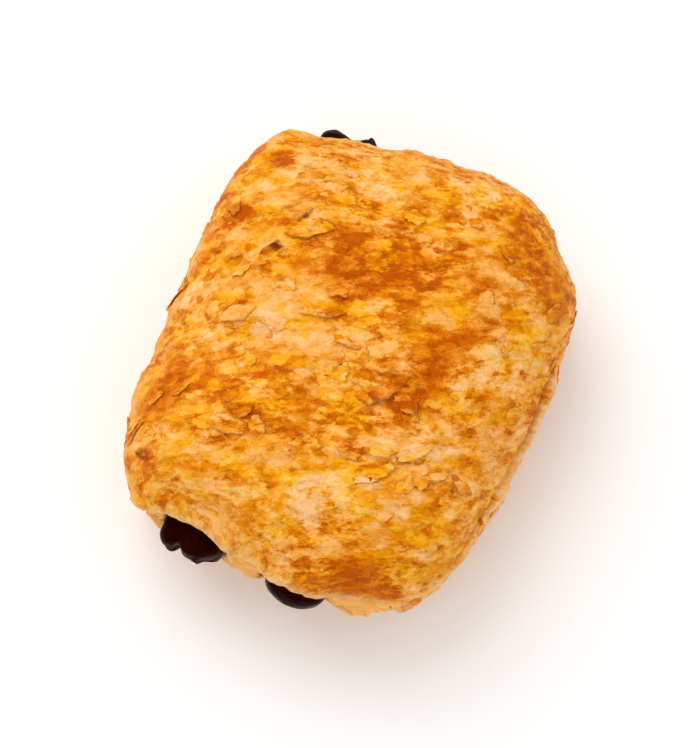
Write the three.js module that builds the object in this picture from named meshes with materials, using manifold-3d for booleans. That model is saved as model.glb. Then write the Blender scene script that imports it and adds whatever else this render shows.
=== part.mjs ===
// A pain au chocolat: one roll of laminated dough, baked as one piece around two chocolate batons.
// Millimetres, +Z up, +Y along the roll. The bake rests on its flat base at z = 0.
import * as THREE from "three";
import { mergeVertices } from "three/addons/utils/BufferGeometryUtils.js";
import Module from "manifold-3d";

const wasm = await Module();
wasm.setup();

// Driving dimensions. The two batons set the scale: a bakery baton is 80 mm long.
const BATON = { length: 80, width: 11, height: 7, corner: 2.2, rounding: 0.9 };
const DOUGH = { length: 79, width: 68, height: 38 };
const CHANNEL_GAP = 0.3; // between a baton and the dough around it
const LAYER = 4.8; // one turn of baked dough in the roll

// The widest level of the roll, and how far the rounded underside would reach below the flat base.
const WIDEST_Z = 14.5;
const BASE_SINK = 2.6;

// How square each outline is: 2 is an ellipse, and a higher number is nearer to a rectangle.
const SQUARE = { plan: 4, topSide: 2.5, topEnd: 3.4, underSide: 3.6 };

// The right side draws in a little towards the front, from a share of the half length over a share of it,
// and its back corner is rounder than the others. The left side is a little hollow in front of its middle.
const FRONT_TAPER = { amount: 0.11, from: 0.5, over: 1.3, curve: 1.2 };
const BACK_CORNER = { amount: 0.24, curve: 4.5 };
const LEFT_WAIST = { amount: 0.03, at: -0.3, half: 0.35 };

// Faces per side of the box that the dough starts as.
const GRID = { x: 24, y: 26, z: 16 };

// How far each cutter runs out past the skin.
const BEYOND = 10;

const BATONS = [
  { name: "chocolate_baton_left", x: -15.2, y: -0.6, z: 16.6, yaw: 1.2, roll: -5 },
  { name: "chocolate_baton_right", x: 4.9, y: -2.6, z: 16.2, yaw: 0, roll: 4 },
];

// The line between the turns of the roll, wound inwards from the seam on the right side. Angles are in
// degrees from +X, and the line starts outside the skin, leadIn degrees before the seam.
const ROLL = {
  seamAngle: 8,
  leadIn: 16,
  leadSlope: 8, // degrees of lead-in for each millimetre outwards
  endAngle: 630,
  rise: 42, // degrees over which the line settles to one layer's depth
  flatness: 0.56, // how much less the depth counts upwards than across
  slot: 1.2,
  slotAtEnd: 0.48,
  depth: 5.5,
  steps: 48,
};

// The seam runs along the right side between two shares of the half length, and closes towards its root.
const SEAM = { z: 21.5, from: -0.78, to: 0.3, slot: 1.3, root: 0.2, depth: 4.5, steps: 12 };

const clamp01 = (t) => Math.min(1, Math.max(0, t));
const radians = THREE.MathUtils.degToRad;

// A point of the dough's skin, for a point of the surface of a cube that runs from -1 to 1.
function doughPoint(p) {
  const [a, b, c] = [Math.abs(p.x), Math.abs(p.y), Math.abs(p.z)];
  const plan = Math.pow(a ** SQUARE.plan + b ** SQUARE.plan, 1 / SQUARE.plan);
  const endShare = (b * b) / (a * a + b * b + 1e-9);
  const top = THREE.MathUtils.lerp(SQUARE.topSide, SQUARE.topEnd, endShare);
  const square = p.z > 0 ? top : SQUARE.underSide;
  const size = Math.pow(plan ** square + c ** square, 1 / square);
  const [x, y, z] = [p.x / size, p.y / size, p.z / size];
  const forward = clamp01((FRONT_TAPER.from - y) / FRONT_TAPER.over);
  const taper = 1 - FRONT_TAPER.amount * forward ** FRONT_TAPER.curve;
  const waist = 1 - LEFT_WAIST.amount * Math.exp(-(((y - LEFT_WAIST.at) / LEFT_WAIST.half) ** 2));
  const corner = y > 0 ? 1 - BACK_CORNER.amount * y ** BACK_CORNER.curve * x : 1;
  const narrowed = x > 0 ? taper * corner : waist;
  const reach = z > 0 ? DOUGH.height - WIDEST_Z : WIDEST_Z + BASE_SINK;
  return new THREE.Vector3(
    (x * narrowed * DOUGH.width) / 2,
    (y * DOUGH.length) / 2,
    WIDEST_Z + z * reach,
  );
}

// A closed solid from any closed geometry.
function solidOf(geometry) {
  const bare = geometry.clone();
  bare.deleteAttribute("normal");
  bare.deleteAttribute("uv");
  const merged = mergeVertices(bare, 1e-4);
  const { array } = merged.getAttribute("position");
  const triVerts = new Uint32Array(merged.index.array);
  return new wasm.Manifold(new wasm.Mesh({ numProp: 3, vertProperties: array, triVerts }));
}

function geometryOf(solid) {
  const { numVert, numProp, vertProperties, triVerts } = solid.getMesh();
  const places = new Float32Array(numVert * 3);
  for (let i = 0; i < numVert; i++) {
    places.set(vertProperties.subarray(i * numProp, i * numProp + 3), i * 3);
  }
  const geometry = new THREE.BufferGeometry();
  geometry.setAttribute("position", new THREE.BufferAttribute(places, 3));
  geometry.setIndex(new THREE.BufferAttribute(triVerts, 1));
  geometry.computeVertexNormals();
  return geometry;
}

// The whole roll of dough as one rounded body on a flat base.
function doughBody() {
  const box = new THREE.BoxGeometry(2, 2, 2, GRID.x, GRID.y, GRID.z);
  const places = box.getAttribute("position");
  for (let i = 0; i < places.count; i++) {
    const point = doughPoint(new THREE.Vector3().fromBufferAttribute(places, i));
    places.setXYZ(i, point.x, point.y, point.z);
  }
  return solidOf(box).trimByPlane([0, 0, 1], 0);
}

// A bar along Y with rounded edges, centred on the origin, grown all round by gap.
function bar(length, gap = 0) {
  const [w, h] = [BATON.width / 2 + gap, BATON.height / 2 + gap];
  const r = BATON.corner + gap;
  const section = new THREE.Shape();
  section.moveTo(w, -h + r);
  section.absarc(w - r, h - r, r, 0, Math.PI / 2);
  section.absarc(-w + r, h - r, r, Math.PI / 2, Math.PI);
  section.absarc(-w + r, -h + r, r, Math.PI, 1.5 * Math.PI);
  section.absarc(w - r, -h + r, r, 1.5 * Math.PI, 2 * Math.PI);
  const round = gap ? 0 : BATON.rounding;
  const geometry = new THREE.ExtrudeGeometry(section, {
    depth: length - 2 * round,
    curveSegments: 5,
    bevelEnabled: round > 0,
    bevelThickness: round,
    bevelSize: round,
    bevelOffset: -round,
    bevelSegments: 3,
  });
  return geometry.translate(0, 0, round - length / 2).rotateX(Math.PI / 2);
}

function placeOf({ x, y, z, yaw, roll }) {
  const turn = new THREE.Euler(0, radians(roll), radians(yaw));
  return new THREE.Matrix4().makeRotationFromEuler(turn).setPosition(x, y, z);
}

// The channel that the dough baked round a baton, open at both ends.
function channel(baton) {
  return solidOf(bar(DOUGH.length + 2 * BEYOND, CHANNEL_GAP).applyMatrix4(placeOf(baton)));
}

// A point of the roll line, seen along the roll, at an angle in degrees from +X.
function rollPoint(angle) {
  const turned = angle - ROLL.seamAngle;
  const wound = LAYER * (1 - Math.exp(-turned / ROLL.rise) + turned / 360);
  const depth = turned < 0 ? turned / ROLL.leadSlope : wound;
  const [cos, sin] = [Math.cos(radians(angle)), Math.sin(radians(angle))];
  const square = sin > 0 ? SQUARE.topSide : SQUARE.underSide;
  const across = DOUGH.width / 2 - depth;
  const reach = (sin > 0 ? DOUGH.height - WIDEST_Z : WIDEST_Z + BASE_SINK) - ROLL.flatness * depth;
  return new THREE.Vector2(
    across * Math.sign(cos) * Math.abs(cos) ** (2 / square),
    WIDEST_Z + reach * Math.sign(sin) * Math.abs(sin) ** (2 / square),
  );
}

// The open end of the roll line: a thin spiral slot at each end, tapering as it winds in.
function rollSlots() {
  const { endAngle, steps, slot, slotAtEnd, depth } = ROLL;
  const startAngle = ROLL.seamAngle - ROLL.leadIn;
  const line = Array.from({ length: steps + 1 }, (_, i) =>
    rollPoint(THREE.MathUtils.lerp(startAngle, endAngle, i / steps)),
  );
  const side = (sign) =>
    line.map((point, i) => {
      const along = line[Math.min(i + 1, steps)].clone().sub(line[Math.max(i - 1, 0)]).normalize();
      const half = (sign * THREE.MathUtils.lerp(slot, slotAtEnd, i / steps)) / 2;
      return new THREE.Vector2(point.x - along.y * half, point.y + along.x * half);
    });
  const shape = new THREE.Shape([...side(-1), ...side(1).reverse()]);
  const cutter = new THREE.ExtrudeGeometry(shape, { depth: depth + BEYOND, bevelEnabled: false });
  cutter.rotateX(Math.PI / 2);
  const outerEnds = [DOUGH.length / 2 + BEYOND, depth - DOUGH.length / 2];
  return outerEnds.map((y) => solidOf(cutter.clone().translate(0, y, 0)));
}

// The seam along the right side, where the last edge of the dough was tucked under.
function seamSlot() {
  const along = Array.from({ length: SEAM.steps + 1 }, (_, i) => {
    const b = THREE.MathUtils.lerp(SEAM.from, SEAM.to, i / SEAM.steps);
    const skin = doughPoint(new THREE.Vector3(1, b, (SEAM.z - WIDEST_Z) / (DOUGH.height - WIDEST_Z)));
    return new THREE.Vector3(skin.x, skin.y, SEAM.z);
  });
  const section = new THREE.Shape();
  section.moveTo(-SEAM.slot / 2, BEYOND);
  section.lineTo(SEAM.slot / 2, BEYOND);
  section.lineTo(SEAM.slot / 2, 0);
  section.lineTo(SEAM.root / 2, -SEAM.depth);
  section.lineTo(-SEAM.root / 2, -SEAM.depth);
  section.lineTo(-SEAM.slot / 2, 0);
  const geometry = new THREE.ExtrudeGeometry(section, {
    steps: SEAM.steps,
    extrudePath: new THREE.CatmullRomCurve3(along),
  });
  return solidOf(geometry);
}

function pastry() {
  let solid = doughBody();
  for (const baton of BATONS) solid = solid.subtract(channel(baton));
  for (const slot of rollSlots()) solid = solid.subtract(slot);
  solid = solid.subtract(seamSlot());
  const largest = solid.decompose().sort((one, other) => other.volume() - one.volume())[0];
  const crust = new THREE.MeshStandardMaterial({ color: 0xd98f2b, roughness: 0.55, metalness: 0 });
  const mesh = new THREE.Mesh(geometryOf(largest), crust);
  mesh.name = "pastry";
  return mesh;
}

function chocolateBaton(baton) {
  const chocolate = new THREE.MeshStandardMaterial({ color: 0x24100a, roughness: 0.4, metalness: 0 });
  const mesh = new THREE.Mesh(bar(BATON.length), chocolate);
  mesh.name = baton.name;
  mesh.applyMatrix4(placeOf(baton));
  return mesh;
}

const bake = new THREE.Group();
bake.name = "pain_au_chocolat";
bake.add(pastry(), ...BATONS.map(chocolateBaton));

// The origin is under the middle of the whole bake.
const box = new THREE.Box3().setFromObject(bake, true);
bake.position.set(-(box.min.x + box.max.x) / 2, -(box.min.y + box.max.y) / 2, -box.min.z);

export default bake;
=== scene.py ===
"""A pain au chocolat: a golden crust with torn, flaky skin, layered cut ends and two chocolate batons."""

import itertools
import math

import bmesh
import bpy
import numpy as np
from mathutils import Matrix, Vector


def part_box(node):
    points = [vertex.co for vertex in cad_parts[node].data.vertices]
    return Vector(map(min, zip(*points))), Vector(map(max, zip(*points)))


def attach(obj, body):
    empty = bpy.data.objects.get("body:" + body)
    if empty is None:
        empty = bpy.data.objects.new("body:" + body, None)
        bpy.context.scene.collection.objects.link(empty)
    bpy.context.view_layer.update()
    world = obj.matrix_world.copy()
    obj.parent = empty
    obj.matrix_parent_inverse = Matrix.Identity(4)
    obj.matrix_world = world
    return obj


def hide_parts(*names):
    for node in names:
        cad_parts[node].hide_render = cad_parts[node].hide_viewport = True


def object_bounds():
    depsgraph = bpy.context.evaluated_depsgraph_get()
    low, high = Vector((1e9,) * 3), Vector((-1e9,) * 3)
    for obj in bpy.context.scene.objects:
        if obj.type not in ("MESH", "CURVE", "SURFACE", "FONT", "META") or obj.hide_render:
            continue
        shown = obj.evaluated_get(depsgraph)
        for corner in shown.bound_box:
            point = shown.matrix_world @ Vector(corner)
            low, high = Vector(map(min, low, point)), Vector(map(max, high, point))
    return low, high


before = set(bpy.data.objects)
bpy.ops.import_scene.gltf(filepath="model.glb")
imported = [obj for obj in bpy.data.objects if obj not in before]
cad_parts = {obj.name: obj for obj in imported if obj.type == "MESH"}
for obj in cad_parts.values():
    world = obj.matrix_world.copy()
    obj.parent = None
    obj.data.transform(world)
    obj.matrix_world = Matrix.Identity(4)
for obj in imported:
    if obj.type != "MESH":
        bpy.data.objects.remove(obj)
CAD_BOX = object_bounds()

MM = 0.001

# ---------------------------------------------------------------- the roll of dough, in millimetres

LOW, HIGH = (np.array(corner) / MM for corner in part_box("pastry"))
WIDTH, LENGTH, HEIGHT = HIGH - LOW
MIDDLE = np.array([(LOW[0] + HIGH[0]) / 2, (LOW[1] + HIGH[1]) / 2, 0.0])

WIDEST_Z = 14.5  # the level where the roll is widest
BASE_SINK = 2.6  # how far the rounded underside would reach below the flat base
SQUARE = {"plan": 4.0, "top_side": 2.5, "top_end": 3.4, "under_side": 3.6}
FRONT_TAPER = {"amount": 0.11, "from": 0.5, "over": 1.3, "curve": 1.2}
BACK_CORNER = {"amount": 0.24, "curve": 4.5}
LEFT_WAIST = {"amount": 0.03, "at": -0.3, "half": 0.35}

# The cut ends: how far out the crust's lip lies, as shares of the block's half sides.
RIM = {"side": 0.94, "top": 0.46, "bottom": 0.76, "square": 2.7}
LIP_RINGS = 0.62  # share of the end's rings that lie inside the lip
END_RECESS = 2.5  # how far the crumb lies behind the lip

# The top lip stands out like a visor, more at the front, and the end below it leans inwards.
VISOR = {"front": 1.3, "back": 0.0, "z": 25.0, "half": 4.6}
LEAN = {"amount": 1.7, "from": 15.0, "to": 4.0}

# The layers that show at each end: one turn of the roll, and the thin sheets in it.
LAYER = 4.6
SHEETS = 5
# The rings that the sheets follow: from which share of the depth they lie flat, how sharply they bend
# to that, and how far the innermost is raised.
RINGS = {"flat_from": 0.81, "bend": 12, "rise": 0.08}
# The rounded outline that the sheets keep clear of round a baton, in half sizes. Lines within reach of
# its middle are moved, crowding up against it.
BATON_CLEAR = {"across": 6.2, "up": 4.2, "reach": 1.9, "crowding": 1.6}
# A step along a sheet that gets longer by more than stretch is a jump across a baton. The sheet is sunk
# by depth there, and comes back up between sunk and clear steps away.
JUMP = {"stretch": 1.0, "sunk": 4, "clear": 9, "depth": 10}
TURNS = 2.85  # how many times the sheets wind inwards from the seam
SHEET_SPREAD = {"first": 0.07, "over": 0.86}  # where the sheets lie in their turn, as shares of it
DEEPEST = LAYER * (TURNS + SHEET_SPREAD["first"] + SHEET_SPREAD["over"])
SEAM_ANGLE = 8.0

SEAM = {"z": 21.5, "front": -27.0, "back": 10.0}

GRID = (150, 160, 112)  # faces along each side of the block that the dough starts as


def smooth(low, high, value):
    """0 below low, 1 above high, and an S-curve between."""
    t = np.clip((value - low) / (high - low), 0, 1)
    return t * t * (3 - 2 * t)


def mix(a, b, share):
    return a + (b - a) * share


# ---------------------------------------------------------------- noise


def hashed(cell, seed, parts):
    """Numbers from 0 to 1 for whole-numbered cells, the same on every run."""
    base = cell[:, 0] * 374761393 + cell[:, 1] * 668265263 + cell[:, 2] * 974634777 + seed * 1274126177
    found = []
    for part in range(parts):
        k = (base + part * 97531) & 0xFFFFFFFF
        k = ((k ^ (k >> 15)) * 2246822519) & 0xFFFFFFFF
        k = ((k ^ (k >> 13)) * 3266489917) & 0xFFFFFFFF
        found.append((k ^ (k >> 16)) / 0xFFFFFFFF)
    return np.stack(found, axis=1)


def noise(points, size, seed=0, octaves=1):
    """Gradient noise from about -1 to 1 whose features are size across."""
    total, strength, scale = 0.0, 1.0, 1.0
    for octave in range(octaves):
        at = points / size * scale + 31.7 * (octave + 1)
        cell = np.floor(at).astype(np.int64)
        part = at - cell
        fade = part * part * part * (part * (part * 6 - 15) + 10)
        value = 0.0
        for corner in itertools.product((0, 1), repeat=3):
            step = np.array(corner)
            slope = hashed(cell + step, seed + octave, 3) * 2 - 1
            share = np.prod(np.where(step, fade, 1 - fade), axis=1)
            value = value + share * np.sum(slope * (part - step), axis=1)
        total = total + value * strength * 1.6
        strength, scale = strength * 0.5, scale * 2.0
    return total


def scattered(points, size, seed=0):
    """Distances to the nearest two of some scattered centres, and three numbers of the nearest."""
    at = points / size
    home = np.floor(at).astype(np.int64)
    first = np.full(len(at), 9.0)
    second = np.full(len(at), 9.0)
    own = np.zeros((len(at), 3))
    for corner in itertools.product((-1, 0, 1), repeat=3):
        cell = home + np.array(corner)
        random = hashed(cell, seed, 6)
        gap = np.linalg.norm(cell + 0.1 + 0.8 * random[:, :3] - at, axis=1)
        nearer = gap < first
        second = np.where(nearer, first, np.minimum(second, gap))
        own[nearer] = random[nearer, 3:]
        first = np.minimum(first, gap)
    return first, second, own


# ---------------------------------------------------------------- meshes


def block(name, cuts):
    """A cube from -1 to 1 whose sides are cut into the given numbers of faces, and its points."""
    bm = bmesh.new()
    bmesh.ops.create_cube(bm, size=2)
    for axis, count in enumerate(cuts):
        along = [e for e in bm.edges if abs(e.verts[0].co[axis] - e.verts[1].co[axis]) > 1e-6]
        if count > 1:
            bmesh.ops.subdivide_edges(bm, edges=along, cuts=count - 1, use_grid_fill=True)
    mesh = bpy.data.meshes.new(name)
    bm.to_mesh(mesh)
    bm.free()
    return mesh, points_of(mesh)


def points_of(mesh):
    flat = np.zeros(len(mesh.vertices) * 3)
    mesh.vertices.foreach_get("co", flat)
    return flat.reshape(-1, 3)


def normals_of(mesh):
    flat = np.zeros(len(mesh.vertices) * 3, np.float32)
    mesh.vertex_normals.foreach_get("vector", flat)
    return flat.reshape(-1, 3).astype(float)


def place(mesh, points):
    """Puts a mesh's points at places in millimetres from the middle of the dough's base."""
    mesh.vertices.foreach_set("co", ((points + MIDDLE) * MM).ravel())
    mesh.update()


def paint(mesh, name, values):
    """Keeps a value for each point, for the materials to read."""
    kind = "FLOAT" if values.ndim == 1 else "FLOAT_VECTOR"
    attribute = mesh.attributes.new(name, kind, "POINT")
    attribute.data.foreach_set("value" if kind == "FLOAT" else "vector", values.astype(np.float32).ravel())


def piece(mesh, material, replaces=None):
    """Adds a finished mesh to the scene as a piece of the pastry."""
    mesh.materials.append(material)
    mesh.shade_smooth()
    added = bpy.data.objects.new(mesh.name, mesh)
    bpy.context.scene.collection.objects.link(added)
    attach(added, "root")
    if replaces:
        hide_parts(replaces)
    return added


# ---------------------------------------------------------------- the batons' places


def baton_place(node, yaw, roll):
    low, high = (np.array(corner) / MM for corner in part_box(node))
    centre = (low + high) / 2 - MIDDLE
    return {"centre": centre, "yaw": math.radians(yaw), "roll": math.radians(roll)}


BATON = {"length": 80.0, "width": 11.0, "height": 7.0}
BATONS = {
    "chocolate_baton_left": baton_place("chocolate_baton_left", 1.2, -5),
    "chocolate_baton_right": baton_place("chocolate_baton_right", 0, 4),
}


def in_baton(points, baton):
    """Points in a baton's own directions: across it, along it and up it."""
    moved = points - baton["centre"]
    cos, sin = math.cos(baton["yaw"]), math.sin(baton["yaw"])
    across, along = moved[:, 0] * cos + moved[:, 1] * sin, moved[:, 1] * cos - moved[:, 0] * sin
    cos, sin = math.cos(baton["roll"]), math.sin(baton["roll"])
    return np.stack([across * cos - moved[:, 2] * sin, along, across * sin + moved[:, 2] * cos], axis=1)


def out_of_baton(points, baton):
    """Places of points given in a baton's own directions."""
    cos, sin = math.cos(baton["roll"]), math.sin(baton["roll"])
    across, up = points[:, 0] * cos + points[:, 2] * sin, points[:, 2] * cos - points[:, 0] * sin
    cos, sin = math.cos(baton["yaw"]), math.sin(baton["yaw"])
    moved = np.stack([across * cos - points[:, 1] * sin, across * sin + points[:, 1] * cos, up], axis=1)
    return moved + baton["centre"]


# ---------------------------------------------------------------- shape of the roll


def dough_skin(cube):
    """The dough's plain skin, for points of the surface of a cube from -1 to 1."""
    a, b, c = np.abs(cube).T
    plan = (a ** SQUARE["plan"] + b ** SQUARE["plan"]) ** (1 / SQUARE["plan"])
    end_share = b * b / (a * a + b * b + 1e-9)
    top = mix(SQUARE["top_side"], SQUARE["top_end"], end_share)
    square = np.where(cube[:, 2] > 0, top, SQUARE["under_side"])
    size = (plan**square + c**square) ** (1 / square)
    x, y, z = (cube / size[:, None]).T
    forward = np.clip((FRONT_TAPER["from"] - y) / FRONT_TAPER["over"], 0, 1)
    taper = 1 - FRONT_TAPER["amount"] * forward ** FRONT_TAPER["curve"]
    waist = 1 - LEFT_WAIST["amount"] * np.exp(-(((y - LEFT_WAIST["at"]) / LEFT_WAIST["half"]) ** 2))
    corner = 1 - np.where(y > 0, BACK_CORNER["amount"] * np.abs(y) ** BACK_CORNER["curve"] * x, 0)
    narrowed = np.where(x > 0, taper * corner, waist)
    reach = np.where(z > 0, HEIGHT - WIDEST_Z, WIDEST_Z + BASE_SINK)
    level = WIDEST_Z + z * reach
    overhang = np.where(y < 0, VISOR["front"], VISOR["back"])
    visor = overhang * np.exp(-(((level - VISOR["z"]) / VISOR["half"]) ** 2))
    lean = LEAN["amount"] * smooth(LEAN["from"], LEAN["to"], level)
    end = smooth(0.78, 0.99, np.abs(y)) * (1 - smooth(0.72, 0.96, np.abs(x)))
    along = y * LENGTH / 2 + np.sign(y) * end * (visor - lean)
    return np.stack([x * narrowed * WIDTH / 2, along, level], axis=1)


def section_place(points):
    """How far out each point is in the roll's section (1 at the skin), and its angle from the right."""
    x, z = points[:, 0] / (WIDTH / 2), points[:, 2] - WIDEST_Z
    z = z / np.where(z > 0, HEIGHT - WIDEST_Z, WIDEST_Z + BASE_SINK)
    square = np.where(z > 0, SQUARE["top_side"], SQUARE["under_side"])
    out = (np.abs(x) ** square + np.abs(z) ** square) ** (1 / square)
    angle = np.arctan2(np.sign(z) * np.abs(z) ** (square / 2), np.sign(x) * np.abs(x) ** (square / 2))
    return out, np.degrees(angle)


def arc_table(half_across, half_up, square, steps=2000):
    """Angles of a quarter of a rounded outline, and the length along it from its 90 degree end."""
    angle = math.pi / 2 * (1 - smooth(0, 1, np.linspace(0, 1, steps)))
    x = half_across * np.cos(angle) ** (2 / square)
    z = half_up * np.sin(angle) ** (2 / square)
    length = np.concatenate([[0], np.cumsum(np.hypot(np.diff(x), np.diff(z)))])
    return np.degrees(angle)[::-1], length[::-1]


def wrapped(skin):
    """Lengths along the skin: round the roll from its top line, and along the roll from its middle."""
    out, angle = section_place(skin)
    upper = arc_table(WIDTH / 2, HEIGHT - WIDEST_Z, SQUARE["top_side"])
    lower = arc_table(WIDTH / 2, WIDEST_Z + BASE_SINK, SQUARE["under_side"])
    side = np.where(np.abs(angle) > 90, 180 - np.abs(angle), np.abs(angle))
    above = np.interp(side, *upper)
    below = upper[1][0] + lower[1][0] - np.interp(side, *lower)
    around = np.sign(skin[:, 0]) * np.where(skin[:, 2] > WIDEST_Z, above, below)
    along_share = np.abs(skin[:, 1]) / (LENGTH / 2)
    meridian = np.degrees(np.arctan2(out ** 2, along_share ** 2 + 1e-9))
    shoulder = arc_table(LENGTH / 2, HEIGHT - WIDEST_Z, 3.8)
    along = np.sign(skin[:, 1]) * np.interp(meridian, *shoulder)
    return np.stack([around, along, out * 10], axis=1)


def lip_scale(cube):
    """How far out the lip lies on the end of the block, in the direction of each point."""
    ring = np.maximum(np.abs(cube[:, 0]), np.abs(cube[:, 2])) + 1e-9
    a, c = cube[:, 0] / ring, cube[:, 2] / ring
    up = np.where(c > 0, RIM["top"], RIM["bottom"])
    n = RIM["square"]
    reach = 1 / ((np.abs(a) / RIM["side"]) ** n + (np.abs(c) / up) ** n) ** (1 / n)
    around = np.stack([a * 30, np.sign(cube[:, 1]) * 50, c * 24], axis=1)
    return ring, reach * (1 + 0.05 * noise(around, 13, 41) + 0.025 * noise(around, 4, 42))


def ends_gathered(cube):
    """Moves the points of the block's ends so that their rings follow the lip. Also gives the rings."""
    moved = cube.copy()
    end = np.abs(cube[:, 1]) > 1 - 1e-6
    ring, lip = lip_scale(cube)
    inner = ring / LIP_RINGS * lip
    outer = mix(lip, 1, (ring - LIP_RINGS) / (1 - LIP_RINGS))
    scale = np.where(ring < LIP_RINGS, inner, outer) / ring
    moved[end, 0] *= scale[end]
    moved[end, 2] *= scale[end]
    return moved, np.where(end, ring, 9.0)


# ---------------------------------------------------------------- relief of the crust

# The film on top is stretched along this direction, turned from across the roll.
STREAK_TURN = math.radians(22)
PLEATS = {
    "centre": (-21.0, 10.0),
    "turn": math.radians(52),
    "reach": (9.0, 6.5),
    "spacing": 2.3,
    "height": 0.32,
}


def streaked(wrap, stretch):
    """Lengths along and across the stretch of the film, the first divided by how much it is stretched."""
    cos, sin = math.cos(STREAK_TURN), math.sin(STREAK_TURN)
    along = wrap[:, 0] * cos + wrap[:, 1] * sin
    across = wrap[:, 1] * cos - wrap[:, 0] * sin
    return np.stack([along / stretch, across, np.zeros(len(wrap))], axis=1)


def terraces(value, steps):
    """Turns a smooth value into flat levels with short slopes between them."""
    level = value * steps
    return (np.floor(level) + smooth(0.34, 0.66, level - np.floor(level))) / steps


def pleats(wrap):
    """A group of short parallel wrinkles in the film."""
    x, y = wrap[:, 0] - PLEATS["centre"][0], wrap[:, 1] - PLEATS["centre"][1]
    cos, sin = math.cos(PLEATS["turn"]), math.sin(PLEATS["turn"])
    along, across = x * cos + y * sin, y * cos - x * sin
    window = np.exp(-((along / PLEATS["reach"][0]) ** 4) - (across / PLEATS["reach"][1]) ** 4)
    wander = 0.8 * noise(wrap, 6, 51)
    return window * np.sin((across / PLEATS["spacing"] + wander) * 2 * math.pi) * PLEATS["height"]


def crust_relief(skin, wrap):
    """How far the baked film stands out from the plain skin."""
    film = streaked(wrap, 2.2)
    swell = 0.75 * noise(skin, 23, 1) + 0.4 * noise(skin, 10, 2, 2)
    torn = film + 0.9 * np.stack([noise(film, 3, 5, 2), noise(film, 3, 7, 2), noise(film, 3, 9)], axis=1)
    near, next_near, own = scattered(torn, 6.5, 3)
    plates = 0.34 * own[:, 0] * smooth(0.0, 0.12, next_near - near)
    levels = 0.5 * terraces(noise(film, 9, 11, 3), 4)
    wrinkles = 0.3 * (1 - np.abs(noise(streaked(wrap, 4.0), 4.2, 15, 2))) ** 4
    near, _, own = scattered(skin + 1.2 * noise(skin, 4, 19)[:, None], 8, 17)
    radius = 0.2 + 0.16 * own[:, 1]
    domes = np.clip(1 - (near / radius) ** 2, 0, 1) ** 1.4
    blisters = np.where(own[:, 0] > 0.62, domes, 0) * (0.4 + 0.5 * own[:, 2])
    grit = 0.07 * noise(skin, 1.1, 23, 2)
    return swell + plates + levels + wrinkles + blisters + grit + pleats(wrap)


def seam_relief(skin, wrap):
    """The dough's last edge on the right: how far its sheet, crack and foot stand out.

    Also where the crack is, for the shade painted into it, and where the foot shows.
    """
    y = skin[:, 1]
    wander = 1.8 * noise(skin, 14, 61) + 0.7 * noise(skin, 4, 62)
    drop = skin[:, 2] - SEAM["z"] - wander
    faint = 1 - 0.75 * smooth(SEAM["back"], SEAM["back"] + 3, y)
    here = faint * smooth(SEAM["front"] - 12, SEAM["front"] + 6, y) * smooth(34, 22, y) * (skin[:, 0] > 0)
    sheet = 0.3 * np.exp(-(((drop - 0.9) / 0.8) ** 2)) - 0.45 * smooth(9, 1.5, drop) * smooth(-0.4, 0.4, drop)
    open_part = np.exp(-(((y - SEAM["back"] + 4) / 5) ** 2))
    opened = np.clip(0.55 + 0.5 * noise(wrap, 7, 64) + 0.6 * open_part, 0.2, 1.3)
    crack = np.exp(-((drop / 0.5) ** 2)) * opened
    scallops = 0.5 + 0.5 * noise(wrap, 4.5, 63)
    foot = (0.1 + 0.8 * scallops) * smooth(0.2, -1.2, drop) * smooth(-15, -5, drop)
    foot_shows = here * smooth(0.3, -1.0, drop) * smooth(-7, -3, drop)
    return here * (sheet - 1.3 * crack + foot), here * crack, foot_shows


# Where the layers stick out at the front, between the batons and to the right of them. For each: its
# middle, its half width and its reach.
TONGUES = [(-5.0, 4.5, 2.2), (16.5, 5.0, 2.2)]


def arch(x, centre, half):
    return np.exp(-(((x - centre) / half) ** 4))


def lip_pulled_back(skin):
    """How far the lip of the crust is drawn back: over the left baton at both ends, and over the tongues."""
    x, y, z = skin.T
    left, right = (baton["centre"][0] for baton in BATONS.values())
    over_tongues = sum(0.55 * reach * arch(x, centre, half) for centre, half, reach in TONGUES)
    front = np.where(y < 0, 2.9 * arch(x, left, 6.8) - 0.9 * arch(x, right, 5.5) + over_tongues, 0)
    back = np.where(y > 0, 2.6 * arch(x, left, 9.0), 0)
    return (front + back) * (1 - smooth(27, 36, z)) * smooth(12, 17, z)


def pockets(skin):
    """1 in the mouth of each baton's channel, with a ragged edge."""
    mouth = np.zeros(len(skin))
    for baton in BATONS.values():
        across, _, up = in_baton(skin, baton).T
        edge = ((np.abs(across) / 6.5) ** 3 + (np.abs(up) / 4.5) ** 3) ** (1 / 3)
        mouth = np.maximum(mouth, 1 - smooth(0.86, 1.08, edge + 0.1 * noise(skin, 2.2, 31)))
    return mouth


PATCH_STRENGTH = 1.55  # how much the patches below count in the browning
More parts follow.
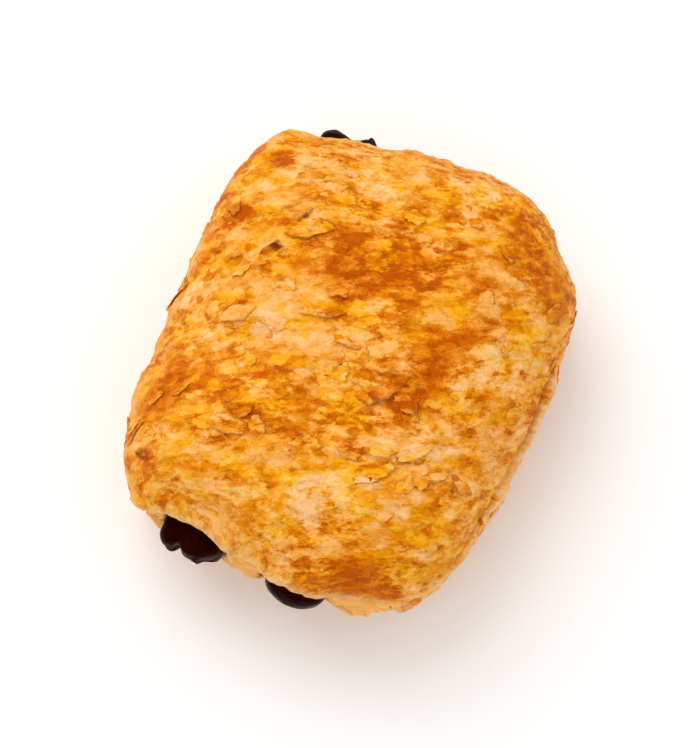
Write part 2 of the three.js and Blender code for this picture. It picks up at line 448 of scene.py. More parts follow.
# Browner and paler patches of the crust: place from the middle, half sizes, turn and strength.
PATCHES = [
    ((0, 13), (13, 7), 12, 0.20),
    ((3, 12), (6, 4), 30, 0.06),
    ((-3, 6), (5, 3), 60, 0.10),
    ((16, 3), (3, 8), -20, 0.24),
    ((12, -6), (3, 6), -15, 0.20),
    ((5, -3), (4, 3), 0, 0.16),
    ((-8, -16), (13, 4), 12, 0.14),
    ((3, -18), (5, 2), 10, 0.12),
    ((-26, -20), (3, 4), 0, 0.16),
    ((24, 24), (4, 7), 35, 0.24),
    ((20, 31), (5, 2.5), 0, 0.18),
    ((14, 22), (7, 2), 10, 0.10),
    ((15, -36), (8, 3), 8, 0.22),
    ((24, -20), (5, 3), 30, 0.12),
    ((-27, 2), (1.6, 3), 0, 0.2),
    ((-26, 15), (2, 1.6), 0, 0.2),
    ((-24, 27), (2.4, 1.6), 40, 0.22),
    ((7, 28), (1.4, 2.6), 10, 0.2),
    ((-26, -29.5), (2.6, 1.5), 10, 0.25),
    ((-14, -1), (9, 5), 25, -0.12),
    ((-10, 28), (12, 6), 10, -0.08),
    ((14, -14), (8, 5), 15, -0.14),
    ((10, -25), (10, 5), 15, -0.12),
    ((-14, -25), (9, 4), 0, -0.08),
    ((22, 5), (4, 6), 0, -0.10),
    ((5, 33), (1.6, 1.2), 0, -0.4),
]


# The few scorched spots, in the same way.
SCORCHES = [
    ((-18, 10.5), (1.5, 1.1), 0, 0.9),
    ((-15.5, 17), (2.6, 0.6), 60, 0.7),
    ((4, -7.5), (3.5, 0.8), -25, 0.5),
    ((-26, -29.5), (2.2, 1.0), 10, 0.5),
    ((-25, 26), (1.6, 0.8), 40, 0.4),
]


def spread(patches, skin, wrap):
    """The sum of ragged patches, fading towards the sides of the roll."""
    total_tone = np.zeros(len(skin))
    wander = np.stack([noise(wrap, 5, 73, 3), noise(wrap, 5, 76, 3)], axis=1)
    for (x, y), (across, along), turn, strength in patches:
        cos, sin = math.cos(math.radians(turn)), math.sin(math.radians(turn))
        reach = 0.45 * min(across, along)
        dx, dy = skin[:, 0] - x + wander[:, 0] * reach, skin[:, 1] - y + wander[:, 1] * reach
        u, v = (dx * cos + dy * sin) / across, (dy * cos - dx * sin) / along
        total_tone += strength * np.exp(-((u * u + v * v) ** 1.5))
    return total_tone * smooth(10, 26, skin[:, 2])


def browning(skin, wrap):
    """How browned the crust is, from 0 to 1."""
    gold = smooth(10, 26, skin[:, 2])
    foot = 1 - smooth(0.3, 2.4, skin[:, 2])
    brown = 0.34 + 0.14 * gold + 0.07 * noise(skin, 14, 71, 3) + PATCH_STRENGTH * spread(PATCHES, skin, wrap)
    return np.clip(brown + 0.5 * foot, 0, 1)


def paint_crust(mesh, skin, wrap, crumb, painted_shade, pale):
    """Keeps all that the crust's material reads."""
    paint(mesh, "wrap", wrap)
    paint(mesh, "browning", browning(skin, wrap))
    paint(mesh, "scorch", spread(SCORCHES, skin, wrap))
    paint(mesh, "crumb", crumb)
    paint(mesh, "painted_shade", painted_shade)
    paint(mesh, "pale", pale)


def paleness(skin):
    """1 low on the roll's sides, where it is browned less."""
    return 1 - smooth(14, 25, skin[:, 2])


def build_crust(material):
    """The roll's whole outside: its flaky skin, the lips and the rough crumb behind them."""
    mesh, cube = block("pastry_crust", GRID)
    cube, ring = ends_gathered(cube)
    skin = dough_skin(cube)
    wrap = wrapped(skin)
    place(mesh, skin)
    outward = normals_of(mesh)

    inside = 1 - smooth(LIP_RINGS - 0.05, LIP_RINGS - 0.005, ring)
    lip = np.exp(-(((ring - LIP_RINGS - 0.02) / 0.026) ** 2))
    pale_lip = np.exp(-(((ring - LIP_RINGS - 0.01) / 0.032) ** 2))
    seam, crack, foot = seam_relief(skin, wrap)
    relief = crust_relief(skin, wrap) + seam + 0.35 * lip
    crumb = 0.5 * noise(skin, 3.2, 33, 2)
    height = np.where(inside > 0.5, crumb, relief)
    points = skin + outward * height[:, None]

    end = np.sign(skin[:, 1]) * (np.abs(skin[:, 1]) > 0.5 * LENGTH / 2)
    recess = inside * (END_RECESS + 0.5 * noise(skin, 6, 35) + 3.2 * pockets(skin))
    points[:, 1] -= end * (recess + lip_pulled_back(skin))
    points[:, 2] = np.maximum(0, points[:, 2])
    place(mesh, points)

    wrap[inside > 0] = np.stack([skin[:, 0], skin[:, 2], skin[:, 1]], axis=1)[inside > 0]
    crumb_share = np.maximum(inside, 0.8 * pale_lip)
    # Painted shade: the seam's crack and the mouths of the batons' channels, darkened in the crust's colour.
    painted_shade = np.clip(crack + inside * pockets(skin), 0, 1)
    paint_crust(mesh, skin, wrap, crumb_share, painted_shade, np.maximum(paleness(skin), 3 * foot))
    flatten_base(mesh)
    return piece(mesh, material, "pastry")


FLAKES = {"count": 84, "cells": (9, 6, 1), "thick": 0.16, "sunk": 0.35, "on_top": 0.62}


def build_flakes(material):
    """Thin flakes of film that lie on the crust, each held at one side and lifted a little at the other."""
    meshes = []
    for number in range(FLAKES["count"]):
        random = [hashed_one(number, 7, part) for part in range(10)]
        mesh, cube = block("flake", FLAKES["cells"])
        u, v = cube[:, 0], cube[:, 1]
        across, along = u * np.sqrt(1 - v * v / 2), v * np.sqrt(1 - u * u / 2)
        rim = np.stack([across * 1.6, along * 1.6, np.full(len(u), 3.7 * number)], axis=1)
        ragged = 1 + 0.4 * noise(rim, 1.0, 201, 2)
        reach = (mix(1.6, 4.6, random[0] ** 2), mix(0.8, 2.0, random[1]))
        turn = STREAK_TURN + mix(-0.4, 0.4, random[2]) + (math.pi if random[9] > 0.5 else 0)
        x, y = across * ragged * reach[0], along * ragged * reach[1]
        x, y = x * math.cos(turn) - y * math.sin(turn), x * math.sin(turn) + y * math.cos(turn)
        skin, outward = on_the_roll(x, y, random[3:6])
        wrap = wrapped(skin)
        most = 0.75 if random[3] < FLAKES["on_top"] else 0.3
        lifted = mix(0.15, most, random[6] ** 2) * smooth(-0.4, 1.0, along) ** 2
        sunk = FLAKES["sunk"] * smooth(-0.2, -1.0, along)
        height = crust_relief(skin, wrap) + 0.14 + lifted - sunk + cube[:, 2] * FLAKES["thick"] / 2
        place(mesh, skin + outward * height[:, None])
        aside = wrap + (40 * random[7], 40 * random[8], 3 * number)
        none = np.zeros(len(skin))
        paint_crust(mesh, skin, aside, 0.25 * smooth(0.6, 1.0, along), none, paleness(skin))
        meshes.append(mesh)
    return piece(joined("crust_flakes", meshes), material)


def on_the_roll(x, y, random):
    """The roll's skin and its outward directions, round a random place on its top or one of its sides."""
    side = 0 if random[0] < FLAKES["on_top"] else math.copysign(1, random[0] - (1 + FLAKES["on_top"]) / 2)
    along = mix(-0.78, 0.82, random[1]) + y / (LENGTH / 2)
    if side:
        up = mix(-0.25, 0.92, random[2]) - side * x / (HEIGHT / 2)
        cube = np.stack([np.full(len(x), side), along, up], axis=1)
        ways = np.array([(0, 1, 0), (0, 0, 1)]) * 1e-3
    else:
        cube = np.stack([mix(-0.92, 0.92, random[2]) + x / (WIDTH / 2), along, np.ones(len(x))], axis=1)
        ways = np.array([(1, 0, 0), (0, 1, 0)]) * 1e-3
    skin = dough_skin(cube)
    first, second = (dough_skin(cube + way) - skin for way in ways)
    outward = np.cross(first, second) * (side or 1)
    return skin, outward / np.linalg.norm(outward, axis=1)[:, None]


def joined(name, meshes):
    """One mesh from many."""
    bm = bmesh.new()
    for mesh in meshes:
        bm.from_mesh(mesh)
        bpy.data.meshes.remove(mesh)
    whole = bpy.data.meshes.new(name)
    bm.to_mesh(whole)
    bm.free()
    return whole


def flatten_base(mesh):
    """Makes the flat base one face."""
    bm = bmesh.new()
    bm.from_mesh(mesh)
    base = [f for f in bm.faces if all(v.co.z < 1e-7 for v in f.verts)]
    bmesh.ops.dissolve_faces(bm, faces=base, use_verts=True)
    bm.to_mesh(mesh)
    bm.free()


# ---------------------------------------------------------------- the thin sheets at the cut ends


def roll_depth(turned, sheet):
    """How far inside the lip a sheet lies, after it has turned so many degrees from the seam."""
    return LAYER * (turned / 360 + SHEET_SPREAD["first"] + SHEET_SPREAD["over"] * (sheet + 0.5) / SHEETS)


def sheet_line(angle, depth, end):
    """A sheet's line on the end of the block, as if no batons were there: a ring inside the lip."""
    n = 2 / RIM["square"]
    cos, sin = np.cos(np.radians(angle)), np.sin(np.radians(angle))
    across = RIM["side"] - depth / (WIDTH / 2)
    # The rings flatten as they wind in, and lie on each other in the middle.
    left = 1 - depth / (RINGS["flat_from"] * DEEPEST)
    height = np.log1p(np.exp(RINGS["bend"] * left)) / RINGS["bend"]
    up = np.where(sin > 0, RIM["top"], RIM["bottom"]) * height
    a, c = across * np.sign(cos) * np.abs(cos) ** n, up * np.sign(sin) * np.abs(sin) ** n
    c = c + RINGS["rise"] * depth / DEEPEST
    return dough_skin(np.stack([a, np.full(len(a), end), c], axis=1))


def baton_radius(own):
    """How far out a point lies from a baton's middle line, where 1 is just outside the baton."""
    across = np.abs(own[:, 0]) / BATON_CLEAR["across"]
    up = np.abs(own[:, 2]) / BATON_CLEAR["up"]
    return (across**3 + up**3) ** (1 / 3) + 1e-6


def round_batons(points):
    """Moves a line that would cross the batons out round them."""
    reach = BATON_CLEAR["reach"]
    for baton in BATONS.values():
        own = in_baton(points, baton)
        radius = baton_radius(own)
        squeezed = 1 + (reach - 1) * (radius / reach) ** BATON_CLEAR["crowding"]
        wanted = np.where(radius < reach, squeezed, radius)
        own[:, 0] *= wanted / radius
        own[:, 2] *= wanted / radius
        points = out_of_baton(own, baton)
    return points


def near_a_jump(cube, line, path):
    """1 near where a line moved round a baton jumps from one side of it to the other, and 0 elsewhere."""
    _, first, column = np.unique(np.round(cube[:, 0], 6), return_index=True, return_inverse=True)
    steps = [np.linalg.norm(np.diff(points[first], axis=0), axis=1) for points in (path, line)]
    jumps = np.flatnonzero(steps[0] - steps[1] > JUMP["stretch"])
    if len(jumps) == 0:
        return np.zeros(len(cube))
    apart = np.min(np.abs(np.arange(len(first))[:, None] - (jumps + 0.5)), axis=1)
    return smooth(JUMP["clear"], JUMP["sunk"], apart)[column]


def tongues(path):
    """How far the layers stick out at the front."""
    x, y, z = path.T
    reach = sum(reach * arch(x, centre, half) for centre, half, reach in TONGUES)
    return np.where(y < 0, reach, 0) * np.exp(-(((z - 17) / 5) ** 2)) * (1 + 0.5 * noise(path, 4, 88))


def build_sheets(material):
    """The edges of the thin sheets of dough that show at both cut ends, wound round the batons."""
    last_turn = 360 * TURNS
    for end, side in ((-1, "front"), (1, "back")):
        for sheet in range(SHEETS):
            mesh, cube = block(f"dough_sheet_{side}_{sheet + 1}", (900, 5, 1))
            turned = mix(-350.0, last_turn, (cube[:, 0] + 1) / 2)
            angle = SEAM_ANGLE + turned
            depth = np.maximum(roll_depth(turned, sheet), -1)
            line = sheet_line(angle, depth, end)
            path = round_batons(line)
            ahead = round_batons(sheet_line(angle + 0.4, depth, end))
            inner = round_batons(sheet_line(angle, depth + LAYER / SHEETS, end))
            step = (ahead - path)[:, (0, 2)]
            step /= np.linalg.norm(step, axis=1)[:, None] + 1e-9
            side_way = np.stack([-step[:, 1], np.zeros(len(step)), step[:, 0]], axis=1)
            pitch = np.clip(np.abs(np.sum((inner - path) * side_way, axis=1)), 0.2, 0.9)

            section = np.stack([path[:, 0], path[:, 2], np.full(len(path), 20.0 * end)], axis=1)
            own = section + (0, 0, 9.0 * sheet)
            inward = (cube[:, 1] + 1) / 2
            tip = inward**0.45
            sway = 0.5 * noise(section, 7, 81) + 0.22 * noise(section, 3, 82)
            sway = sway + 0.4 * pitch * noise(own, 3.5, 87)
            curl = pitch * noise(own, 4, 83) * tip**3
            thick = pitch * mix(0.95, 0.8, tip) * (1 + 0.35 * noise(own, 4, 84))
            thick = thick * np.where(inward > 0.99, 0.5, 1)
            edge = 0.5 + 0.45 * noise(own, 7, 85) + 0.3 * noise(own, 1.6, 86) + 0.5 * hashed_one(sheet, end)
            buried = 4 * (1 - smooth(0.0, 0.6, depth)) + 3 * smooth(last_turn - 40, last_turn, turned)
            buried = buried + JUMP["depth"] * near_a_jump(cube, line, path)
            length = np.abs(path[:, 1]) - lip_pulled_back(path) - edge - buried
            length = length - 4.0 * (1 - tip) + tongues(path)
            points = path + side_way * (sway + curl + cube[:, 2] * thick / 2)[:, None]
            points[:, 1] = end * length
            place(mesh, points)
            if end < 0:
                mesh.flip_normals()
            paint(mesh, "wrap", np.stack([path[:, 0], path[:, 2], 4 * inward + 7 * sheet], axis=1))
            paint(mesh, "tip", tip)
            paint(mesh, "browning", np.clip(0.3 + 0.3 * smooth(16, 28, path[:, 2]) - 0.02 * depth, 0, 1))
            piece(mesh, material)


def hashed_one(*numbers):
    """One number from 0 to 1 for a few whole numbers."""
    cell = np.array([[*numbers, 0, 0, 0][:3]], dtype=np.int64)
    return float(hashed(cell, 5, 1)[0, 0])


# ---------------------------------------------------------------- the batons


def build_baton(node, material, front, back):
    """A softened chocolate baton. front and back say how round each end is, and where it is broken."""
    baton = BATONS[node]
    mesh, cube = block(node.replace("chocolate_baton", "chocolate"), (26, 120, 18))
    a, b, c = cube.T
    body = 0.86
    share = np.clip((np.abs(b) - body) / (1 - body), 0, 1)
    end = {key: np.where(b < 0, front[key], back[key]) for key in ("round", "reach")}
    section = (np.abs(a) ** 5 + np.abs(c) ** 5) ** (1 / 5)
    size = (section ** end["round"] + share ** end["round"]) ** (1 / end["round"])
    along = np.where(share > 0, BATON["length"] / 2 - end["reach"] + share / size * end["reach"], 0)
    middle = np.abs(b) / body * (BATON["length"] / 2 - end["reach"])
    own = np.stack(
        [
            a / size * BATON["width"] / 2,
            np.sign(b) * np.where(share > 0, along, middle),
            c / size * BATON["height"] / 2,
        ],
        axis=1,
    )
    for lobes, toward in ((front["lobes"], -1), (back["lobes"], 1)):
        cap = smooth(0.0, 0.8, share) * (np.sign(b) == toward)
        stands_out = sum(out * np.exp(-(((own[:, 0] - x) / half) ** 2)) for x, half, out in lobes)
        _, _, facets = scattered(own, 2.6, 95)
        chips = (0.9 * (facets[:, 0] - 0.5) + 0.25 * noise(own, 1.6, 92, 2)) * bool(lobes)
        own[:, 1] += toward * cap * (stands_out + chips)
    place(mesh, out_of_baton(own, baton))
    soft = 0.16 * noise(own, 4.5, 93) + 0.07 * noise(own, 1.6, 94, 2)
    place(mesh, out_of_baton(own, baton) + normals_of(mesh) * soft[:, None])
    piece(mesh, material, node)


# ---------------------------------------------------------------- shader helpers


def srgb(*levels):
    """A colour given as levels from 0 to 255."""
    return tuple(((v / 255 + 0.055) / 1.055) ** 2.4 if v > 10 else v / 255 / 12.92 for v in levels) + (1.0,)


def add(tree, kind, inputs=None, **settings):
    """Adds a shader node. A socket among its inputs is linked, and anything else is set."""
    node = tree.nodes.new("ShaderNode" + kind)
    for name, value in settings.items():
        setattr(node, name, value)
    for key, value in (inputs or {}).items():
        if isinstance(value, bpy.types.NodeSocket):
            tree.links.new(value, node.inputs[key])
        else:
            node.inputs[key].default_value = value
    return node


def maths(tree, operation, *values, clamp=False):
    return add(tree, "Math", dict(enumerate(values)), operation=operation, use_clamp=clamp).outputs[0]


def stretched(tree, vector, scale, turn=0.0):
    """A vector turned about Z and multiplied axis by axis."""
    turned = add(tree, "Mapping", {"Vector": vector, "Rotation": (0, 0, turn), "Scale": scale})
    return turned.outputs["Vector"]


def grain(tree, vector, scale, detail=4.0, roughness=0.55, distortion=0.0):
    inputs = {
        "Vector": vector,
        "Scale": scale,
        "Detail": detail,
        "Roughness": roughness,
        "Distortion": distortion,
    }
    return add(tree, "TexNoise", inputs).outputs["Fac"]


def step(tree, value, low, high):
    """0 below low, 1 above high, and an S-curve between."""
    inputs = {"Value": value, "From Min": low, "From Max": high}
    return add(tree, "MapRange", inputs, interpolation_type="SMOOTHSTEP").outputs["Result"]


def blended(tree, share, first, second, blend="MIX"):
    node = add(tree, "Mix", data_type="RGBA", blend_type=blend)
    for socket, value in ((node.inputs[0], share), (node.inputs[6], first), (node.inputs[7], second)):
        if isinstance(value, bpy.types.NodeSocket):
            tree.links.new(value, socket)
        else:
            socket.default_value = value
    return node.outputs[2]


def ramp(tree, value, stops):
    """Colours along a value, as pairs of a place and a colour."""
    node = add(tree, "ValToRGB", {"Fac": value})
    elements = node.color_ramp.elements
    while len(elements) < len(stops):
        elements.new(0.5)
    for element, (at, colour) in zip(elements, stops):
        element.position = at
        element.color = colour
    return node.outputs["Color"]


def attribute(tree, name):
    return add(tree, "Attribute", attribute_name=name)


def new_group(name, inputs, outputs):
    """A shader node group with named sockets, as (name, kind, default) and (name, kind)."""
    tree = bpy.data.node_groups.new(name, "ShaderNodeTree")
    for label, kind, default in inputs:
        socket = tree.interface.new_socket(label, in_out="INPUT", socket_type="NodeSocket" + kind)
        if default is not None:
            socket.default_value = default
    for label, kind in outputs:
        tree.interface.new_socket(label, in_out="OUTPUT", socket_type="NodeSocket" + kind)
    return tree, tree.nodes.new("NodeGroupInput").outputs, tree.nodes.new("NodeGroupOutput").inputs


def placed(tree, group, inputs):
    node = add(tree, "Group", node_tree=group)
    for key, value in inputs.items():
        if isinstance(value, bpy.types.NodeSocket):
            tree.links.new(value, node.inputs[key])
        else:
            node.inputs[key].default_value = value
    return node.outputs


def new_material(name, **shader_values):
    """A material with one Principled shader. Gives the material, its nodes and the shader."""
    material = bpy.data.materials.new(name)
    material.use_nodes = True
    tree = material.node_tree
    shader = tree.nodes["Principled BSDF"]
    for label, value in shader_values.items():
        shader.inputs[label].default_value = value
    return material, tree, shader


# ---------------------------------------------------------------- effects shared by materials


def torn_film_group():
    """Crisp-edged torn patches of baked film: a cover mask, the torn edge, and a level for each patch."""
    tree, given, result = new_group(
        "Torn film",
        [
            ("Place", "Vector", None),
            ("Patches per mm", "Float", 0.2),
            ("Stretch", "Float", 2.0),
            ("Turn", "Float", 0.0),
            ("Threshold", "Float", 0.5),
            ("Softness", "Float", 0.02),
            ("Shift", "Float", 0.0),
        ],
        [("Film", "Float"), ("Edge", "Float"), ("Level", "Float")],
    )
    place_and_turn = {"Vector": given["Place"], "Angle": given["Turn"]}
    turned = add(tree, "VectorRotate", place_and_turn, rotation_type="Z_AXIS")
    divisor = add(tree, "CombineXYZ", {0: given["Stretch"], 1: 1.0, 2: 1.0}).outputs[0]
    squeezed = add(tree, "VectorMath", {0: turned.outputs[0], 1: divisor}, operation="DIVIDE").outputs[0]
    shift = add(tree, "CombineXYZ", {2: given["Shift"]}).outputs[0]
    at = add(tree, "VectorMath", {0: squeezed, 1: shift}, operation="ADD").outputs[0]
    value = grain(tree, at, given["Patches per mm"], detail=8.0, roughness=0.66)
    centred = maths(tree, "SUBTRACT", value, given["Threshold"])
    film = maths(tree, "ADD", maths(tree, "DIVIDE", centred, given["Softness"]), 0.5, clamp=True)
    distance = maths(tree, "ABSOLUTE", centred)
    away = maths(tree, "DIVIDE", distance, maths(tree, "MULTIPLY", given["Softness"], 2.0))
    edge = maths(tree, "SUBTRACT", 1.0, away, clamp=True)
    tree.links.new(film, result["Film"])
    tree.links.new(edge, result["Edge"])
    tree.links.new(value, result["Level"])
    return tree


GOLDEN = [
    (0.00, srgb(254, 198, 86)),
    (0.18, srgb(253, 184, 52)),
    (0.36, srgb(251, 172, 22)),
    (0.50, srgb(243, 154, 0)),
    (0.64, srgb(231, 134, 0)),
    (0.80, srgb(218, 112, 0)),
    (1.00, srgb(196, 86, 0)),
]
PEACHY = [
    (0.00, srgb(255, 200, 140)),
    (0.22, srgb(254, 188, 114)),
    (0.42, srgb(252, 176, 88)),
    (0.60, srgb(242, 150, 48)),
    (0.80, srgb(222, 114, 14)),
    (1.00, srgb(196, 86, 4)),
]


def baked_colour_group():
    """The colour of baked dough, from how browned it is and how dry or buttery its film is."""
    tree, given, result = new_group(
        "Baked colour", [("Browning", "Float", 0.4), ("Dryness", "Float", 0.3)], [("Colour", "Color")]
    )
    golden = ramp(tree, given["Browning"], GOLDEN)
    peachy = ramp(tree, given["Browning"], PEACHY)
    tree.links.new(blended(tree, given["Dryness"], golden, peachy), result["Colour"])
    return tree


# ---------------------------------------------------------------- materials


def film(tree, group, wrap, size, stretch, turn, threshold, softness, shift):
    inputs = {
        "Place": wrap,
        "Patches per mm": 1 / size,
        "Stretch": stretch,
        "Turn": math.radians(-turn),
        "Threshold": threshold,
        "Softness": softness,
        "Shift": shift,
    }
    return placed(tree, group, inputs)


def total(tree, terms):
    """The sum of sockets, each times its strength."""
    result = 0.0
    for socket, strength in terms:
        result = maths(tree, "MULTIPLY_ADD", socket, strength, result)
    return result


def chips(tree, wrap, size, stretch, turn):
    """Two levels from 0 to 1 for each ragged-edged chip of film."""
    drift = add(tree, "TexNoise", {"Vector": wrap, "Scale": 3.4 / size, "Detail": 5.0, "Roughness": 0.75})
    centred = add(tree, "VectorMath", {0: drift.outputs["Color"], 1: (0.5, 0.5, 0.5)}, operation="SUBTRACT")
    ragged = 0.9 * size
    pushed = add(tree, "VectorMath", {0: centred.outputs[0], 1: (ragged, ragged, 0.0)}, operation="MULTIPLY")
    moved = add(tree, "VectorMath", {0: wrap, 1: pushed.outputs[0]}, operation="ADD").outputs[0]
    at = stretched(tree, moved, (1 / stretch, 1.0, 1.0), math.radians(-turn))
    cells = add(tree, "TexVoronoi", {"Vector": at, "Scale": 1 / size})
    levels = add(tree, "SeparateColor", {0: cells.outputs["Color"]})
    return levels.outputs["Red"], levels.outputs["Green"]


def crust_material(torn, baked):
    shine = {"Specular IOR Level": 0.07, "Coat Roughness": 0.3}
    material, tree, shader = new_material("Baked crust", **shine)
    wrap = attribute(tree, "wrap").outputs["Vector"]
    browning = attribute(tree, "browning").outputs["Fac"]
    pale = attribute(tree, "pale").outputs["Fac"]
    crumb = attribute(tree, "crumb").outputs["Fac"]
    painted_shade = attribute(tree, "painted_shade").outputs["Fac"]
    scorch = attribute(tree, "scorch").outputs["Fac"]

    wide = film(tree, torn, wrap, 9, 1.4, 22, 0.5, 0.02, 1.0)
    plates = film(tree, torn, wrap, 5, 1.7, 25, 0.5, 0.012, 21.0)
    scraps = film(tree, torn, wrap, 2.2, 1.8, 30, 0.52, 0.015, 41.0)
    threads = film(tree, torn, wrap, 1.6, 4.0, 24, 0.56, 0.03, 61.0)
    dry = film(tree, torn, wrap, 5.0, 1.6, 16, 0.51, 0.02, 81.0)
    specks = film(tree, torn, wrap, 1.4, 1.3, 10, 0.68, 0.03, 101.0)
    fine_tone, _ = chips(tree, wrap, 0.9, 1.7, 24)
    small_tone, small_hue = chips(tree, wrap, 2.0, 1.8, 22)
    large_tone, large_hue = chips(tree, wrap, 5.0, 1.5, 20)

    large = [
        (browning, 1.0),
        (wide["Film"], 0.10),
        (plates["Film"], 0.14),
        (large_tone, 0.20),
        (dry["Film"], -0.10),
    ]
    small = [
        (scraps["Film"], 0.20),
        (threads["Film"], 0.18),
        (specks["Film"], 0.16),
        (fine_tone, 0.26),
        (small_tone, 0.26),
        (grain(tree, wrap, 1.2, detail=7.0, roughness=0.75), 0.32),
    ]
    # Some areas of the crust are torn all over, and others are calm.
    torn_up = step(tree, grain(tree, wrap, 0.09, detail=2.0), 0.42, 0.58)
    small_tones = maths(tree, "SUBTRACT", total(tree, small), 0.59)
    small_tones = maths(tree, "MULTIPLY", small_tones, maths(tree, "MULTIPLY_ADD", torn_up, 0.7, 0.6))
    tone = maths(tree, "ADD", maths(tree, "SUBTRACT", total(tree, large), 0.11), small_tones)
    tone = maths(tree, "SUBTRACT", tone, maths(tree, "MULTIPLY", pale, 0.05), clamp=True)
    dryness = total(
        tree,
        [
            (dry["Film"], 0.55),
            (scraps["Film"], -0.25),
            (small_hue, 0.45),
            (large_hue, 0.35),
            (pale, 0.25),
            (browning, -1.0),
        ],
    )
    dryness = maths(tree, "ADD", dryness, 0.3, clamp=True)
    colour = placed(tree, baked, {"Browning": tone, "Dryness": dryness})["Colour"]
    cream = blended(tree, grain(tree, wrap, 0.8), srgb(255, 226, 168), srgb(240, 188, 120))
    colour = blended(tree, maths(tree, "MULTIPLY", crumb, 0.85), colour, cream)
    # Painted shade: a dark brown laid into the seam's crack and the mouths of the batons' channels.
    colour = blended(tree, maths(tree, "MULTIPLY", painted_shade, 0.7), colour, srgb(132, 60, 12))
    scorched = step(tree, total(tree, [(scorch, 1.0), (small_tone, 0.3), (fine_tone, 0.4)]), 0.45, 1.3)
    colour = blended(tree, scorched, colour, srgb(124, 48, 6))
    tree.links.new(colour, shader.inputs["Base Color"])
    rough = total(tree, [(dry["Film"], 0.12), (crumb, 0.25), (grain(tree, wrap, 2.0), 0.2)])
    tree.links.new(maths(tree, "ADD", rough, 0.42), shader.inputs["Roughness"])
    shader.inputs["Specular Tint"].default_value = srgb(255, 190, 70)
    coat = maths(tree, "SUBTRACT", 0.04, maths(tree, "MULTIPLY", crumb, 0.04), clamp=True)
    tree.links.new(coat, shader.inputs["Coat Weight"])

    height = total(
        tree,
        [
            (plates["Film"], 0.12),
            (scraps["Film"], 0.10),
            (threads["Film"], 0.08),
            (dry["Film"], 0.08),
            (fine_tone, 0.06),
            (small_tone, 0.12),
            (large_tone, 0.14),
            (grain(tree, wrap, 1.4, detail=8.0, roughness=0.65), 0.35),
        ],
    )
    bump = add(tree, "Bump", {"Strength": 0.6, "Distance": MM, "Height": height})
    tree.links.new(bump.outputs["Normal"], shader.inputs["Normal"])
    return material


def sheet_material(baked):
    material, tree, shader = new_material("Laminated dough edges", **{"Specular IOR Level": 0.3})
    wrap = attribute(tree, "wrap").outputs["Vector"]
    tip = attribute(tree, "tip").outputs["Fac"]
    browning = attribute(tree, "browning").outputs["Fac"]
    patches = grain(tree, wrap, 0.35, detail=6.0, roughness=0.6)
    brown_tip = maths(tree, "MULTIPLY", step(tree, tip, 0.7, 1.0), step(tree, patches, 0.4, 0.62))
    tone = total(tree, [(browning, 0.6), (patches, 0.5), (brown_tip, 0.25)])
    tone = maths(tree, "SUBTRACT", tone, 0.28, clamp=True)
    colour = placed(tree, baked, {"Browning": tone, "Dryness": 0.55})["Colour"]
    tree.links.new(colour, shader.inputs["Base Color"])
    shader.inputs["Roughness"].default_value = 0.6
    fine = add(tree, "TexCoord").outputs["Object"]
    height = grain(tree, fine, 900.0, detail=5.0)
    bump = add(tree, "Bump", {"Strength": 0.5, "Distance": 0.2 * MM, "Height": height})
    tree.links.new(bump.outputs["Normal"], shader.inputs["Normal"])
    return material


def chocolate_material():
    material, tree, shader = new_material("Dark chocolate", **{"Specular IOR Level": 0.1, "Coat Weight": 0.0})
    place_of = add(tree, "TexCoord").outputs["Object"]
    smears = grain(tree, place_of, 260.0, detail=5.0, distortion=0.6)
    colour = ramp(tree, smears, [(0.3, srgb(24, 2, 0)), (0.6, srgb(36, 5, 2)), (0.8, srgb(62, 20, 8))])
    tree.links.new(colour, shader.inputs["Base Color"])
    tree.links.new(maths(tree, "MULTIPLY_ADD", smears, 0.3, 0.3), shader.inputs["Roughness"])
    shader.inputs["Specular Tint"].default_value = srgb(190, 70, 40)
    height = grain(tree, place_of, 700.0, detail=6.0)
    bump = add(tree, "Bump", {"Strength": 0.6, "Distance": 0.35 * MM, "Height": height})
    tree.links.new(bump.outputs["Normal"], shader.inputs["Normal"])
    return material


# ---------------------------------------------------------------- the studio


def build_floor():
    matt = {"Roughness": 0.8, "Specular IOR Level": 0.2}
    material, _, shader = new_material("Pale studio floor", **matt)
    shader.inputs["Base Color"].default_value = srgb(250, 250, 250)
    bm = bmesh.new()
    bmesh.ops.create_grid(bm, x_segments=2, y_segments=2, size=3)
    mesh = bpy.data.meshes.new("floor")
    bm.to_mesh(mesh)
    bm.free()
    mesh.materials.append(material)
    floor = bpy.data.objects.new("floor", mesh)
    bpy.context.scene.collection.objects.link(floor)


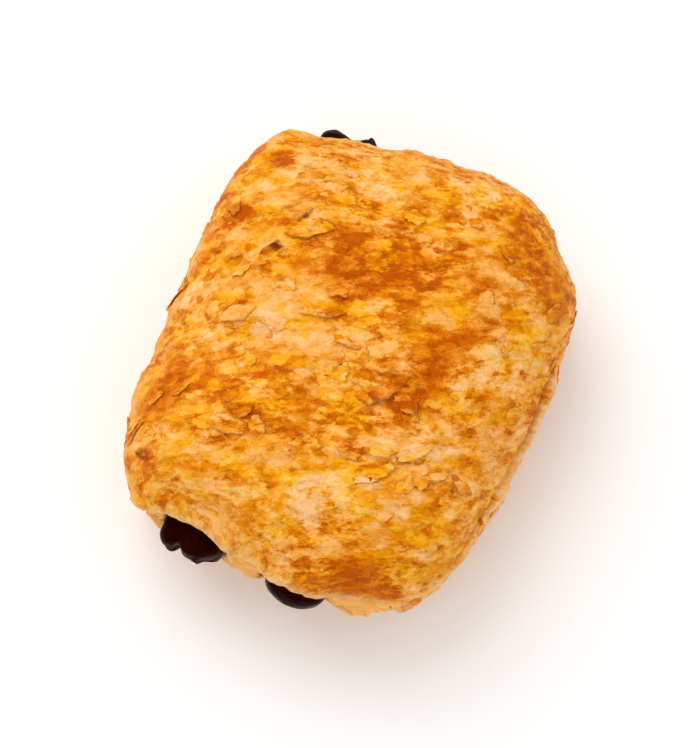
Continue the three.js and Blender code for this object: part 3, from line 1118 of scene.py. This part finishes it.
def area_light(name, place_from, towards, size, power):
    data = bpy.data.lights.new(name, "AREA")
    data.size = size
    data.energy = power
    light = bpy.data.objects.new(name, data)
    light.location = place_from
    light.rotation_euler = (Vector(towards) - Vector(place_from)).to_track_quat("-Z", "Y").to_euler()
    bpy.context.scene.collection.objects.link(light)


def build_light():
    scene = bpy.context.scene
    scene.view_settings.view_transform = "Standard"
    world = bpy.data.worlds.new("Soft white room")
    scene.world = world
    world.use_nodes = True
    world.node_tree.nodes["Background"].inputs["Color"].default_value = (1, 1, 1, 1)
    world.node_tree.nodes["Background"].inputs["Strength"].default_value = 0.86
    area_light("key", (-0.5, 0.35, 0.9), (0, 0, 0.02), 0.7, 4.45)


AIM = (-0.00025, -0.0001, 0.0)  # where the camera looks, from the middle of the object's box


def build_camera():
    azimuth, elevation = math.radians(22), math.radians(76)
    lens, distance = 100.0, 0.361
    back = Vector(
        (
            math.sin(azimuth) * math.cos(elevation),
            -math.cos(azimuth) * math.cos(elevation),
            math.sin(elevation),
        )
    )
    data = bpy.data.cameras.new("camera")
    data.lens = lens
    camera = bpy.data.objects.new("camera", data)
    low, high = (Vector(corner) for corner in CAD_BOX)
    centre = (low + high) / 2 + Vector(AIM)
    camera.location = centre + back * distance
    camera.rotation_euler = (-back).to_track_quat("-Z", "Y").to_euler()
    bpy.context.scene.collection.objects.link(camera)
    bpy.context.scene.camera = camera


torn_film = torn_film_group()
baked_colour = baked_colour_group()
crust = crust_material(torn_film, baked_colour)
edges = sheet_material(baked_colour)
chocolate = chocolate_material()

build_crust(crust)
build_flakes(crust)
build_sheets(edges)
build_baton(
    "chocolate_baton_left",
    chocolate,
    front={"round": 3.4, "reach": 2.4, "lobes": [(-3.6, 1.1, 0.7), (-1.7, 0.6, -0.9), (1.3, 1.8, 0.9)]},
    back={"round": 3.0, "reach": 2.5, "lobes": [(-3.4, 1.6, -0.1), (0.0, 1.2, -0.6), (3.4, 1.5, 0.9)]},
)
build_baton(
    "chocolate_baton_right",
    chocolate,
    front={"round": 2.1, "reach": 4.2, "lobes": []},
    back={"round": 2.6, "reach": 3.0, "lobes": [(-2.0, 1.5, 0.4), (2.4, 1.1, -0.6)]},
)
build_floor()
build_light()
build_camera()
